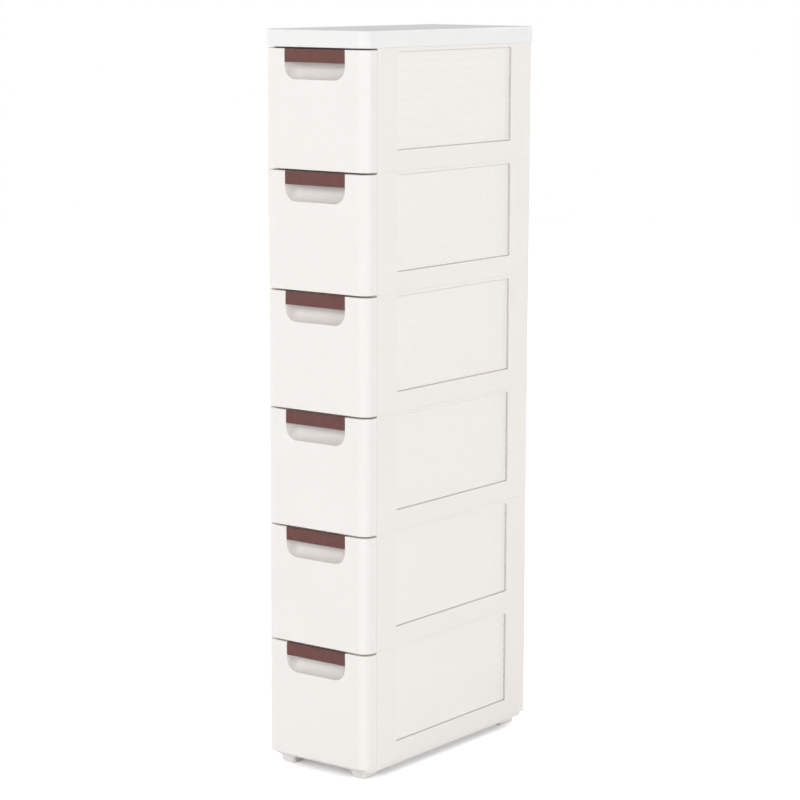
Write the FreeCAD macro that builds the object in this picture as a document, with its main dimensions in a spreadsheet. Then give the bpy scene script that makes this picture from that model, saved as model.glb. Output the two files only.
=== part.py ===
import FreeCAD, Part
import os
import Sketcher
from FreeCAD import Vector

# Slim drawer tower: six stacked tiers, each with two side panels, a back panel, a shelf frame and a drawer.
# Millimetres. X is the width, -Y faces the user, +Z is up. The origin is on the floor, under the middle.

sizes = {
    # tower
    "body_width": 206.0,
    "body_depth": 444.0,
    "tier_count": 6,
    "tier_pitch": 190.0,
    "fit_clearance": 0.2,
    "overrun": 2.0,
    "match_tolerance": 0.02,
    # side panels
    "side_thickness": 13.0,
    "side_wall": 2.4,
    "front_post": 51.0,
    "rear_post": 58.0,
    "recess_bottom": 32.0,
    "recess_top": 6.0,
    "recess_depth": 3.0,
    "recess_corner": 2.0,
    "slat_count": 10,
    "slat_step": 1.0,
    "panel_rib": 1.8,
    "panel_rib_count": 2,
    "post_front_edge": 1.0,
    "post_rear_edge": 2.0,
    # tabs that lock one tier on the next
    "tab_thickness": 4.0,
    "tab_length": 16.0,
    "tab_height": 8.0,
    "tab_inset": 4.6,
    "tab_clearance": 0.3,
    # back panels
    "back_thickness": 7.0,
    "back_recess_margin": 20.0,
    "back_recess_depth": 1.5,
    "back_slat_step": 0.8,
    "back_hollow_depth": 2.2,
    "tongue_thickness": 4.2,
    "tongue_width": 6.0,
    # shelf frames
    "shelf_thickness": 3.0,
    "crossbar_thickness": 4.0,
    "crossbar_height": 8.0,
    "shelf_rib": 1.8,
    "shelf_rib_height": 4.0,
    "cell_columns": 2,
    "cell_rows": 4,
    "runner_centre": 74.0,
    "runner_width": 6.0,
    "runner_height": 2.5,
    "runner_end": 8.0,
    # base frame and feet
    "base_height": 19.5,
    "deck_height": 6.0,
    "deck_skin": 2.4,
    "deck_side_inset": 3.0,
    "deck_front_inset": 12.0,
    "deck_rear_inset": 1.5,
    "deck_corner": 8.0,
    "foot_side_inset": 12.0,
    "foot_end_inset": 3.0,
    "foot_width": 32.0,
    "foot_length": 44.0,
    "foot_taper": 3.0,
    "foot_corner": 4.0,
    "foot_edge": 1.0,
    "spigot_diameter": 12.0,
    "spigot_height": 3.0,
    "boss_wall": 2.4,
    # top cover
    "cover_height": 27.0,
    "cover_overhang": 2.0,
    "cover_wall": 2.6,
    "cover_corner_radius": 20.0,
    "cover_rear_corner": 3.0,
    "cover_edge": 1.6,
    "cover_rib": 2.0,
    "cover_rib_lift": 6.0,
    "cover_rib_rows": 5,
    "cover_rib_columns": 3,
    # drawer fronts
    "front_gap": 3.0,
    "front_lift": 0.5,
    "wrap_depth": 26.0,
    "wrap_gap": 0.8,
    "front_wall": 2.6,
    "front_corner_radius": 18.0,
    "front_rib": 1.8,
    "front_rib_outer": 78.0,
    # finger scoops
    "pull_width": 119.0,
    "scoop_height": 47.0,
    "scoop_depth": 20.8,
    "scoop_wall": 2.4,
    "scoop_radius": 16.0,
    "scoop_cove": 10.0,
    # pull bars
    "bar_height": 21.0,
    "bar_depth": 6.6,
    "bar_thickness": 3.0,
    "hook_thickness": 1.8,
    "hook_height": 7.0,
    "bar_edge": 0.8,
    "bar_ear": 1.8,
    # drawer trays
    "slide_gap": 0.3,
    "skid_width": 4.0,
    "skid_height": 2.2,
    "tray_wall": 2.2,
    "tray_side_gap": 1.5,
    "tray_rear_gap": 7.0,
    "tray_top_gap": 3.0,
    "tray_draft": 3.0,
    "tray_corner_radius": 10.0,
    "tray_floor_edge": 1.5,
    "rim_width": 1.5,
    "rim_height": 2.4,
    "flange_thickness": 2.4,
    "stop_travel": 290.0,
    "stop_margin": 0.5,
    "stop_overlap": 2.5,
    "stop_length": 8.0,
    "stop_width": 4.0,
}

doc = FreeCAD.newDocument("drawer_tower")
sheet = doc.addObject("Spreadsheet::Sheet", "Sizes")
for row, (name, number) in enumerate(sizes.items(), start=1):
    sheet.set(f"A{row}", name)
    sheet.set(f"B{row}", str(number))
    sheet.setAlias(f"B{row}", name)
doc.recompute()

# Places that more than one piece shares, as expressions of the sizes.
half = "(Sizes.body_width / 2)"
front = "(-Sizes.body_depth / 2)"
rear = "(Sizes.body_depth / 2)"
cabinet_front = f"({front} + Sizes.wrap_depth + Sizes.wrap_gap)"
inner = f"({half} - Sizes.side_thickness)"
skin = f"({half} - Sizes.side_wall)"
ledge = "(Sizes.tier_pitch - Sizes.shelf_thickness)"
recess_front = f"({cabinet_front} + Sizes.front_post)"
recess_rear = f"({rear} - Sizes.rear_post)"
recess_low = "Sizes.recess_bottom"
recess_high = "(Sizes.tier_pitch - Sizes.recess_top)"
recess_height = f"({recess_high} - {recess_low})"
back_rear = f"({rear} - Sizes.side_wall - Sizes.fit_clearance)"
back_inner = f"({back_rear} - Sizes.back_thickness)"
tongue_front = f"({back_rear} - Sizes.tongue_thickness)"
shelf_half = f"({skin} - Sizes.fit_clearance)"
shelf_rear = f"({back_inner} - Sizes.fit_clearance)"
tab_outer = f"({half} - Sizes.tab_inset)"
tab_inner = f"({tab_outer} - Sizes.tab_thickness)"
tab_middles = (f"({cabinet_front} + Sizes.front_post / 2)", f"({rear} - Sizes.rear_post / 2)")
front_low = "Sizes.front_lift"
front_high = "(Sizes.front_lift + Sizes.tier_pitch - Sizes.front_gap)"
flange_front = f"({front} + Sizes.wrap_depth - Sizes.flange_thickness)"
tower_top = "(Sizes.base_height + Sizes.tier_count * Sizes.tier_pitch)"


def value(expression):
    return float(sheet.evalExpression(str(expression)))


def rectangle(x_low, x_high, y_low, y_high):
    return [(x_low, y_low), (x_high, y_low), (x_high, y_high), (x_low, y_high)]


def both_sides(x_low, x_high, y_low, y_high):
    """A rectangle and its mirror image across the middle."""
    return [rectangle(x_low, x_high, y_low, y_high), rectangle(f"-{x_high}", f"-{x_low}", y_low, y_high)]


def new_body(label):
    body = doc.addObject("PartDesign::Body", label)
    body.Label = label
    return body


def draw(body, name, plane, level, loops):
    """Closed outlines of straight lines, each corner held by two dimensions from the origin."""
    role, sign = {"XY": ("XY_Plane", ""), "XZ": ("XZ_Plane", "-"), "YZ": ("YZ_Plane", "")}[plane]
    sketch = body.newObject("Sketcher::SketchObject", name)
    support = [feature for feature in body.Origin.OriginFeatures if feature.Role == role][0]
    sketch.AttachmentSupport = [(support, "")]
    sketch.MapMode = "FlatFace"
    sketch.setExpression("AttachmentOffset.Base.z", f"{sign}({level})")
    for corners in loops:
        points = [Vector(value(across), value(up), 0) for across, up in corners]
        first = sketch.GeometryCount
        for index, point in enumerate(points):
            sketch.addGeometry(Part.LineSegment(point, points[(index + 1) % len(points)]), False)
        for index, (across, up) in enumerate(corners):
            edge = first + index
            previous = first + (index - 1) % len(points)
            sketch.addConstraint(Sketcher.Constraint("Coincident", previous, 2, edge, 1))
            for kind, place in (("DistanceX", across), ("DistanceY", up)):
                number = sketch.addConstraint(Sketcher.Constraint(kind, -1, 1, edge, 1, value(place)))
                sketch.setExpression(f"Constraints[{number}]", str(place))
    return sketch


def add(body, name, plane, low, high, loops):
    """Material between two levels of the axis that crosses the plane."""
    sketch = draw(body, f"{name}_outline", plane, high if plane == "XZ" else low, loops)
    pad = body.newObject("PartDesign::Pad", name)
    pad.Profile = sketch
    pad.setExpression("Length", f"{high} - {low}")
    body.Tip = pad
    return pad


def cut(body, name, plane, low, high, loops):
    """A pocket between two levels of the axis that crosses the plane."""
    sketch = draw(body, f"{name}_outline", plane, low if plane == "XZ" else high, loops)
    doc.recompute()
    before = body.Shape.Volume
    pocket = body.newObject("PartDesign::Pocket", name)
    pocket.Profile = sketch
    pocket.setExpression("Length", f"{high} - {low}")
    body.Tip = pocket
    doc.recompute()
    if body.Shape.Volume >= before:
        raise RuntimeError(f"{name} cuts nothing from {body.Label}")
    return pocket


def repeat(body, feature, name, axis, spread, count):
    """Copies of a feature, in a row along an axis of its outline."""
    pattern = body.newObject("PartDesign::LinearPattern", name)
    pattern.Originals = [feature]
    pattern.Direction = (feature.Profile[0], [axis])
    pattern.setExpression("Length", spread)
    pattern.setExpression("Occurrences", count)
    body.Tip = pattern
    return pattern


def lying(edge, **places):
    """True where an edge stays at the given X, Y or Z places; each may be one place or several."""
    near = value("Sizes.match_tolerance")
    box = edge.BoundBox
    for axis, wanted in places.items():
        low = getattr(box, f"{axis}Min")
        high = getattr(box, f"{axis}Max")
        levels = wanted if isinstance(wanted, (list, tuple)) else [wanted]
        if not any(abs(low - value(level)) < near and abs(high - value(level)) < near for level in levels):
            return False
    return True


def dress(body, kind, name, size, choose):
    """A fillet or chamfer on the edges of the finished shape that choose picks."""
    doc.recompute()
    base = body.Tip
    names = [f"Edge{number}" for number, edge in enumerate(base.Shape.Edges, start=1) if choose(edge)]
    if not names:
        raise RuntimeError(f"{name} finds no edge on {body.Label}")
    feature = body.newObject(f"PartDesign::{kind}", name)
    feature.Base = (base, names)
    feature.setExpression("Radius" if kind == "Fillet" else "Size", size)
    body.Tip = feature
    doc.recompute()
    return feature


def lean(body, name, level, slope, hollow, choose):
    """Draft: the chosen faces of a block or of a hollow come closer together below the given level."""
    doc.recompute()
    base = body.Tip
    faces = [(f"Face{number}", face) for number, face in enumerate(base.Shape.Faces, start=1)]
    neutral = [label for label, face in faces if lying(face, Z=level)]
    feature = body.newObject("PartDesign::Draft", name)
    feature.Base = (base, [label for label, face in faces if choose(face)])
    feature.NeutralPlane = (base, neutral[:1])
    feature.Reversed = not hollow
    feature.setExpression("Angle", f"atan({slope})")
    body.Tip = feature
    doc.recompute()
    return feature


def mirrored(source, label):
    """The same piece for the other side of the tower."""
    mirror = doc.addObject("Part::Mirroring", label)
    mirror.Label = label
    mirror.Source = source
    mirror.Base = Vector(0, 0, 0)
    mirror.Normal = Vector(1, 0, 0)
    return mirror


def copied(source, label):
    """The same moulding again, as a body of its own."""
    body = new_body(label)
    same = doc.addObject("PartDesign::FeatureBase", f"{label}_moulding")
    same.BaseFeature = source
    body.Group = [same]
    body.Tip = same
    return body


def make_side_panel(label):
    """The right side panel of a tier: a ribbed shell with a slatted recess between two posts."""
    body = new_body(label)
    recess_skin = f"({skin} - Sizes.recess_depth - Sizes.slat_step)"
    cavity_front = f"({cabinet_front} + Sizes.side_wall)"
    cavity_rear = f"({rear} - Sizes.side_wall)"
    cavity_low = "Sizes.side_wall"
    cavity_high = f"({ledge} - Sizes.side_wall)"
    backing_front = f"({recess_front} - Sizes.side_wall)"
    backing_rear = f"({recess_rear} + Sizes.side_wall)"
    backing_low = f"({recess_low} - Sizes.side_wall)"
    add(body, "panel", "YZ", inner, half, [rectangle(cabinet_front, rear, "0", "Sizes.tier_pitch")])
    cut(
        body, "hollow", "YZ", inner, recess_skin,
        [rectangle(cavity_front, cavity_rear, cavity_low, cavity_high)],
    )
    around_recess = [
        (cavity_front, cavity_low),
        (cavity_rear, cavity_low),
        (cavity_rear, cavity_high),
        (backing_rear, cavity_high),
        (backing_rear, backing_low),
        (backing_front, backing_low),
        (backing_front, cavity_high),
        (cavity_front, cavity_high),
    ]
    cut(body, "post_hollow", "YZ", recess_skin, skin, [around_recess])
    # ribs behind the recess and the posts
    rib_pitch = f"(({backing_rear} - {backing_front}) / (Sizes.panel_rib_count + 1))"
    first_rib = f"({backing_front} + {rib_pitch} - Sizes.panel_rib / 2)"
    upright = add(
        body, "upright_rib", "YZ", inner, recess_skin,
        [rectangle(first_rib, f"({first_rib} + Sizes.panel_rib)", cavity_low, cavity_high)],
    )
    repeat(body, upright, "upright_ribs", "H_Axis", rib_pitch, "Sizes.panel_rib_count")
    # the groove for the back panel lies between this rib and the rear edge
    groove_front = f"({tongue_front} - Sizes.fit_clearance)"
    add(
        body, "groove_rib", "YZ", inner, skin,
        [rectangle(f"({groove_front} - Sizes.side_wall)", groove_front, cavity_low, cavity_high)],
    )
    # the slatted recess
    recess_floor = f"({half} - Sizes.recess_depth)"
    cut(
        body, "recess", "YZ", recess_floor, half,
        [rectangle(recess_front, recess_rear, recess_low, recess_high)],
    )
    dress(
        body, "Chamfer", "recess_corners", "Sizes.recess_corner",
        lambda edge: lying(edge, Y=[recess_front, recess_rear], Z=[recess_low, recess_high]),
    )
    slat_pitch = f"({recess_height} / Sizes.slat_count)"
    slat = [
        (recess_floor, recess_low),
        (recess_floor, f"({recess_low} + {slat_pitch})"),
        (f"({recess_floor} - Sizes.slat_step)", f"({recess_low} + {slat_pitch})"),
    ]
    bevel = cut(
        body, "slat", "XZ", f"({recess_front} + Sizes.recess_corner)",
        f"({recess_rear} - Sizes.recess_corner)", [slat],
    )
    repeat(body, bevel, "slats", "V_Axis", f"({recess_height} - {slat_pitch})", "Sizes.slat_count")
    # the rebate that carries the shelf frame, and the tabs and slots that lock the tiers
    cut(
        body, "shelf_rebate", "XY", ledge, "Sizes.tier_pitch",
        [rectangle(f"({inner} - Sizes.overrun)", skin, f"({cabinet_front} - Sizes.overrun)", back_inner)],
    )
    tabs = [tab_outline(middle, "0") for middle in tab_middles]
    slots = [tab_outline(middle, "Sizes.tab_clearance") for middle in tab_middles]
    add(body, "tabs", "XY", ledge, "(Sizes.tier_pitch + Sizes.tab_height)", tabs)
    cut(body, "slots", "XY", "(-Sizes.overrun)", "Sizes.side_wall", slots)
    dress(
        body, "Chamfer", "front_edge", "Sizes.post_front_edge",
        lambda edge: lying(edge, X=half, Y=cabinet_front),
    )
    dress(body, "Chamfer", "rear_edge", "Sizes.post_rear_edge", lambda edge: lying(edge, X=half, Y=rear))
    return body


def tab_outline(middle, clearance):
    return rectangle(
        f"({tab_inner} - {clearance})",
        f"({tab_outer} + {clearance})",
        f"({middle} - Sizes.tab_length / 2 - {clearance})",
        f"({middle} + Sizes.tab_length / 2 + {clearance})",
    )


def make_back_panel(label):
    """A tier's back panel: its tongues slide into the grooves of the two side panels."""
    body = new_body(label)
    board = f"({inner} - Sizes.fit_clearance)"
    tongue = f"({inner} + Sizes.tongue_width)"
    tongue_low = "(Sizes.side_wall + Sizes.fit_clearance)"
    tongue_high = f"({ledge} - Sizes.side_wall - Sizes.fit_clearance)"
    add(
        body, "board", "XY", "0", "Sizes.tier_pitch",
        [rectangle(f"-{board}", board, back_inner, back_rear)],
    )
    add(
        body, "tongues", "XY", tongue_low, tongue_high,
        [rectangle(f"-{tongue}", tongue, tongue_front, back_rear)],
    )
    recess_half = f"({board} - Sizes.back_recess_margin)"
    recess_floor = f"({back_rear} - Sizes.back_recess_depth)"
    cut(
        body, "recess", "XZ", recess_floor, back_rear,
        [rectangle(f"-{recess_half}", recess_half, recess_low, recess_high)],
    )
    dress(
        body, "Chamfer", "recess_corners", "Sizes.recess_corner",
        lambda edge: lying(edge, X=[f"-{recess_half}", recess_half], Z=[recess_low, recess_high]),
    )
    slat_pitch = f"({recess_height} / Sizes.slat_count)"
    slat_half = f"({recess_half} - Sizes.recess_corner)"
    slat = [
        (recess_floor, recess_low),
        (recess_floor, f"({recess_low} + {slat_pitch})"),
        (f"({recess_floor} - Sizes.back_slat_step)", f"({recess_low} + {slat_pitch})"),
    ]
    bevel = cut(body, "slat", "YZ", f"-{slat_half}", slat_half, [slat])
    repeat(body, bevel, "slats", "V_Axis", f"({recess_height} - {slat_pitch})", "Sizes.slat_count")
    middle = f"(({recess_low} + {recess_high}) / 2)"
    lower = both_sides(
        "(Sizes.panel_rib / 2)", recess_half, recess_low, f"({middle} - Sizes.panel_rib / 2)",
    )
    upper = both_sides(
        "(Sizes.panel_rib / 2)", recess_half, f"({middle} + Sizes.panel_rib / 2)", recess_high,
    )
    cut(body, "hollow", "XZ", back_inner, f"({back_inner} + Sizes.back_hollow_depth)", lower + upper)
    return body


def add_runners(body, deck, y_low, y_high):
    """Two strips that the drawer above slides on."""
    runner_in = "(Sizes.runner_centre - Sizes.runner_width / 2)"
    runner_out = "(Sizes.runner_centre + Sizes.runner_width / 2)"
    add(
        body, "runners", "XY", deck, f"({deck} + Sizes.runner_height)",
        both_sides(
            runner_in, runner_out, f"({y_low} + Sizes.runner_end)", f"({y_high} - Sizes.runner_end)",
        ),
    )


def cut_cells(body, low, high, x_half, y_low, y_high):
    """A grid of open cells under a plate, with ribs between them."""
    pitch_x = f"((2 * {x_half} - Sizes.shelf_rib) / Sizes.cell_columns)"
    pitch_y = f"(({y_high} - {y_low} - Sizes.shelf_rib) / Sizes.cell_rows)"
    cells = []
    for column in range(int(sizes["cell_columns"])):
        left = f"(-{x_half} + Sizes.shelf_rib + {column} * {pitch_x})"
        cells.append(
            rectangle(
                left, f"({left} + {pitch_x} - Sizes.shelf_rib)",
                f"({y_low} + Sizes.shelf_rib)", f"({y_low} + {pitch_y})",
            )
        )
    row = cut(body, "cell_row", "XY", low, high, cells)
    # the first row is drawn at the front, and the pattern runs to the rear
    repeat(
        body, row, "cells", "V_Axis", f"({y_high} - {y_low} - Sizes.shelf_rib - {pitch_y})",
        "Sizes.cell_rows",
    )


def make_shelf_frame(label):
    """The plate between two tiers, ribbed below, with a bar in front that stops the drawer."""
    body = new_body(label)
    bar_half = f"({inner} - Sizes.fit_clearance)"
    bar_low = f"({ledge} - Sizes.crossbar_height)"
    rib_low = f"({ledge} - Sizes.shelf_rib_height)"
    bar_front = f"({cabinet_front} + Sizes.crossbar_thickness)"
    bar_rear = f"({shelf_rear} - Sizes.crossbar_thickness)"
    add(
        body, "plate", "XY", ledge, "Sizes.tier_pitch",
        [rectangle(f"-{shelf_half}", shelf_half, cabinet_front, shelf_rear)],
    )
    add(
        body, "rib_field", "XY", rib_low, ledge,
        [rectangle(f"-{bar_half}", bar_half, bar_front, bar_rear)],
    )
    cut_cells(body, f"({rib_low} - Sizes.overrun)", ledge, bar_half, bar_front, bar_rear)
    add(
        body, "front_bar", "XY", bar_low, ledge,
        [rectangle(f"-{bar_half}", bar_half, cabinet_front, bar_front)],
    )
    add(
        body, "rear_bar", "XY", bar_low, ledge,
        [rectangle(f"-{bar_half}", bar_half, bar_rear, shelf_rear)],
    )
    add_runners(body, "Sizes.tier_pitch", cabinet_front, shelf_rear)
    holes = []
    for middle in tab_middles:
        outline = tab_outline(middle, "Sizes.tab_clearance")
        holes.append(outline)
        holes.append([(f"-{across}", along) for across, along in outline])
    cut(
        body, "tab_holes", "XY", f"({ledge} - Sizes.overrun)", "(Sizes.tier_pitch + Sizes.overrun)",
        holes,
    )
    return body


def make_base_frame(label):
    """The lowest frame: it carries the first tier and its drawer, and sockets for the four feet."""
    body = new_body(label)
    low = "(Sizes.base_height - Sizes.deck_height)"
    high = "Sizes.base_height"
    deck_half = f"({half} - Sizes.deck_side_inset)"
    deck_front = f"({front} + Sizes.deck_front_inset)"
    deck_rear = f"({rear} - Sizes.deck_rear_inset)"
    add(body, "deck", "XY", low, high, [rectangle(f"-{deck_half}", deck_half, deck_front, deck_rear)])
    dress(
        body, "Chamfer", "deck_corners", "Sizes.deck_corner",
        lambda edge: lying(edge, X=[f"-{deck_half}", deck_half], Y=[deck_front, deck_rear]),
    )
    cell_high = "(Sizes.base_height - Sizes.deck_skin)"
    margin = "Sizes.deck_corner * 3 / 4"
    cell_half = f"({deck_half} - {margin})"
    cell_front = f"({deck_front} + {margin})"
    cell_rear = f"({deck_rear} - {margin})"
    cut_cells(body, f"({low} - Sizes.overrun)", cell_high, cell_half, cell_front, cell_rear)
    wall = "(Sizes.boss_wall + Sizes.fit_clearance)"
    bosses = []
    sockets = []
    for x_middle, y_middle in foot_middles():
        bosses.append(spigot_outline(x_middle, y_middle, wall))
        sockets.append(spigot_outline(x_middle, y_middle, "Sizes.fit_clearance"))
    add(body, "bosses", "XY", low, cell_high, bosses)
    cut(
        body, "sockets", "XY", f"({low} - Sizes.overrun)",
        f"({low} + Sizes.spigot_height + Sizes.fit_clearance)", sockets,
    )
    add_runners(body, high, cabinet_front, shelf_rear)
    tabs = []
    for middle in tab_middles:
        outline = tab_outline(middle, "0")
        tabs.append(outline)
        tabs.append([(f"-{across}", along) for across, along in outline])
    add(body, "tabs", "XY", high, "(Sizes.base_height + Sizes.runner_height)", tabs)
    return body


def foot_middles():
    """The middle of each foot: front right, front left, rear right, rear left."""
    across = f"({half} - Sizes.deck_side_inset - Sizes.foot_side_inset - Sizes.foot_width / 2)"
    ahead = f"({front} + Sizes.deck_front_inset + Sizes.foot_end_inset + Sizes.foot_length / 2)"
    behind = f"({rear} - Sizes.deck_rear_inset - Sizes.foot_end_inset - Sizes.foot_length / 2)"
    return [(across, ahead), (f"(-{across})", ahead), (across, behind), (f"(-{across})", behind)]


def spigot_outline(x_middle, y_middle, wall):
    reach = f"(Sizes.spigot_diameter / 2 + {wall})"
    return rectangle(
        f"({x_middle} - {reach})", f"({x_middle} + {reach})", f"({y_middle} - {reach})",
        f"({y_middle} + {reach})",
    )


def make_foot(label, x_middle, y_middle):
    """A foot that narrows towards the floor, with a spigot for the base frame."""
    body = new_body(label)
    top = "(Sizes.base_height - Sizes.deck_height)"
    wide = "(Sizes.foot_width / 2)"
    long = "(Sizes.foot_length / 2)"
    shoulder = rectangle(
        f"({x_middle} - {wide})", f"({x_middle} + {wide})", f"({y_middle} - {long})",
        f"({y_middle} + {long})",
    )
    add(body, "block", "XY", "0", top, [shoulder])
    lean(
        body, "block_draft", top, f"Sizes.foot_taper / {top}", False,
        lambda face: not lying(face, Z=["0", top]),
    )
    dress(
        body, "Chamfer", "corners", "Sizes.foot_corner",
        lambda edge: edge.BoundBox.ZLength > value(top) / 2,
    )
    dress(body, "Chamfer", "sole_edge", "Sizes.foot_edge", lambda edge: lying(edge, Z="0"))
    add(
        body, "spigot", "XY", top, f"({top} + Sizes.spigot_height)",
        [spigot_outline(x_middle, y_middle, "0")],
    )
    return body


def make_top_cover(label):
    """The top board: a shell with a slight overhang, ribbed below."""
    body = new_body(label)
    out = f"({half} + Sizes.cover_overhang)"
    ahead = f"({front} - Sizes.cover_overhang)"
    behind = f"({rear} + Sizes.cover_overhang)"
    add(body, "board", "XY", "0", "Sizes.cover_height", [rectangle(f"-{out}", out, ahead, behind)])
    ceiling = "(Sizes.cover_height - Sizes.cover_wall)"
    hollow_half = f"({out} - Sizes.cover_wall)"
    hollow_front = f"({ahead} + Sizes.cover_wall)"
    hollow_rear = f"({behind} - Sizes.cover_wall)"
    cut(
        body, "hollow", "XY", "(-Sizes.overrun)", ceiling,
        [rectangle(f"-{hollow_half}", hollow_half, hollow_front, hollow_rear)],
    )
    dress(
        body, "Fillet", "hollow_front_corners", "Sizes.cover_corner_radius - Sizes.cover_wall",
        lambda edge: lying(edge, X=[f"-{hollow_half}", hollow_half], Y=hollow_front),
    )
    dress(
        body, "Fillet", "front_corners", "Sizes.cover_corner_radius",
        lambda edge: lying(edge, X=[f"-{out}", out], Y=ahead),
    )
    dress(
        body, "Chamfer", "rear_corners", "Sizes.cover_rear_corner",
        lambda edge: lying(edge, X=[f"-{out}", out], Y=behind),
    )
    dress(
        body, "Chamfer", "top_edge", "Sizes.cover_edge", lambda edge: lying(edge, Z="Sizes.cover_height"),
    )
    # two long ribs rest on the top shelf frame, inside the tabs
    rib_out = f"({tab_inner} - Sizes.tab_clearance)"
    rib_in = f"({rib_out} - Sizes.cover_rib)"
    add(body, "long_ribs", "XY", "0", ceiling, both_sides(rib_in, rib_out, cabinet_front, shelf_rear))
    field = f"({shelf_rear} - {cabinet_front} - Sizes.cover_rib)"
    front_rib = add(
        body, "cross_rib", "XY", "Sizes.cover_rib_lift", ceiling,
        [rectangle(f"-{rib_in}", rib_in, cabinet_front, f"({cabinet_front} + Sizes.cover_rib)")],
    )
    repeat(body, front_rib, "cross_ribs", "V_Axis", field, "Sizes.cover_rib_rows")
    middle_out = f"({rib_in} / Sizes.cover_rib_columns)"
    middle_in = f"({middle_out} - Sizes.cover_rib)"
    add(
        body, "middle_ribs", "XY", "Sizes.cover_rib_lift", ceiling,
        both_sides(middle_in, middle_out, cabinet_front, shelf_rear),
    )
    return body


def make_drawer_front(label):
    """The drawer's face: a shell that wraps round both sides, with a finger scoop under the pull bar."""
    body = new_body(label)
    wrap_rear = f"({front} + Sizes.wrap_depth)"
    face = f"({front} + Sizes.front_wall)"
    hollow_half = f"({half} - Sizes.front_wall)"
    hollow_low = f"({front_low} + Sizes.front_wall)"
    hollow_high = f"({front_high} - Sizes.front_wall)"
    add(body, "face", "XY", front_low, front_high, [rectangle(f"-{half}", half, front, wrap_rear)])
    cut(
        body, "hollow", "XZ", face, wrap_rear,
        [rectangle(f"-{hollow_half}", hollow_half, hollow_low, hollow_high)],
    )
    dress(
        body, "Fillet", "hollow_corners", "Sizes.front_corner_radius - Sizes.front_wall",
        lambda edge: lying(edge, X=[f"-{hollow_half}", hollow_half], Y=face),
    )
    dress(
        body, "Fillet", "wrap_corners", "Sizes.front_corner_radius",
        lambda edge: lying(edge, X=[f"-{half}", half], Y=front),
    )
    # the housing of the scoop, then the scoop itself, one wall thickness inside it
    scoop_half = "(Sizes.pull_width / 2)"
    scoop_low = f"({front_high} - Sizes.scoop_height)"
    scoop_rear = f"({front} + Sizes.scoop_depth)"
    housing_half = f"({scoop_half} + Sizes.scoop_wall)"
    housing_low = f"({scoop_low} - Sizes.scoop_wall)"
    housing_rear = f"({scoop_rear} + Sizes.scoop_wall)"
    add(
        body, "housing", "YZ", f"-{housing_half}", housing_half,
        [rectangle(face, housing_rear, housing_low, hollow_high)],
    )
    cut(
        body, "scoop", "YZ", f"-{scoop_half}", scoop_half,
        [rectangle(f"({front} - Sizes.overrun)", scoop_rear, scoop_low, hollow_high)],
    )
    dress(
        body, "Fillet", "scoop_corners", "Sizes.scoop_radius",
        lambda edge: lying(edge, X=[f"-{scoop_half}", scoop_half], Z=scoop_low),
    )
    dress(
        body, "Fillet", "housing_corners", "Sizes.scoop_radius + Sizes.scoop_wall",
        lambda edge: lying(edge, X=[f"-{housing_half}", housing_half], Z=housing_low),
    )
    dress(
        body, "Chamfer", "scoop_cove", "Sizes.scoop_cove",
        lambda edge: lying(edge, Y=scoop_rear, Z=scoop_low),
    )
    dress(
        body, "Chamfer", "housing_cove", "Sizes.scoop_cove + Sizes.scoop_wall / 2",
        lambda edge: lying(edge, Y=housing_rear, Z=housing_low),
    )
    cut(
        body, "bar_notch", "XY", hollow_high, f"({front_high} + Sizes.overrun)",
        [rectangle(f"-{scoop_half}", scoop_half, f"({front} - Sizes.overrun)", f"({front} + Sizes.bar_depth)")],
    )
    # the bar's ears rest on the end walls of the scoop
    cut(
        body, "ear_seats", "XY", hollow_high, f"({front_high} + Sizes.overrun)",
        both_sides(
            f"({scoop_half} - Sizes.overrun)", f"({scoop_half} + Sizes.bar_ear + Sizes.fit_clearance)",
            face, f"({front} + Sizes.bar_depth)",
        ),
    )
    rib = "Sizes.front_rib"
    add(
        body, "outer_ribs", "XY", hollow_low, hollow_high,
        both_sides("Sizes.front_rib_outer", f"(Sizes.front_rib_outer + {rib})", face, flange_front),
    )
    return body


def make_pull_bar(label):
    """The brown grip: it closes the top of the scoop and hooks over the drawer front."""
    body = new_body(label)
    bar_half = "(Sizes.pull_width / 2 - Sizes.fit_clearance)"
    web_low = f"({front_high} - Sizes.front_wall)"
    bar_rear = f"({front} + Sizes.bar_depth - Sizes.fit_clearance)"
    hook_front = f"({bar_rear} - Sizes.hook_thickness)"
    leg_rear = f"({front} + Sizes.bar_thickness)"
    low = f"({front_high} - Sizes.bar_height)"
    hook_low = f"({front_high} - Sizes.hook_height)"
    profile = [
        (front, low),
        (leg_rear, low),
        (leg_rear, web_low),
        (hook_front, web_low),
        (hook_front, hook_low),
        (bar_rear, hook_low),
        (bar_rear, front_high),
        (front, front_high),
    ]
    add(body, "bar", "YZ", f"-{bar_half}", bar_half, [profile])
    ear_front = f"({front} + Sizes.front_wall + Sizes.fit_clearance)"
    ear_end = "(Sizes.pull_width / 2 + Sizes.bar_ear)"
    add(
        body, "ears", "XY", web_low, front_high,
        both_sides(f"({bar_half} - Sizes.bar_thickness)", ear_end, ear_front, bar_rear),
    )
    dress(body, "Chamfer", "top_edge", "Sizes.bar_edge", lambda edge: lying(edge, Y=front, Z=front_high))
    dress(
        body, "Chamfer", "grip_edge", "Sizes.bar_edge",
        lambda edge: lying(edge, Y=[front, leg_rear], Z=low),
    )
    return body


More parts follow.
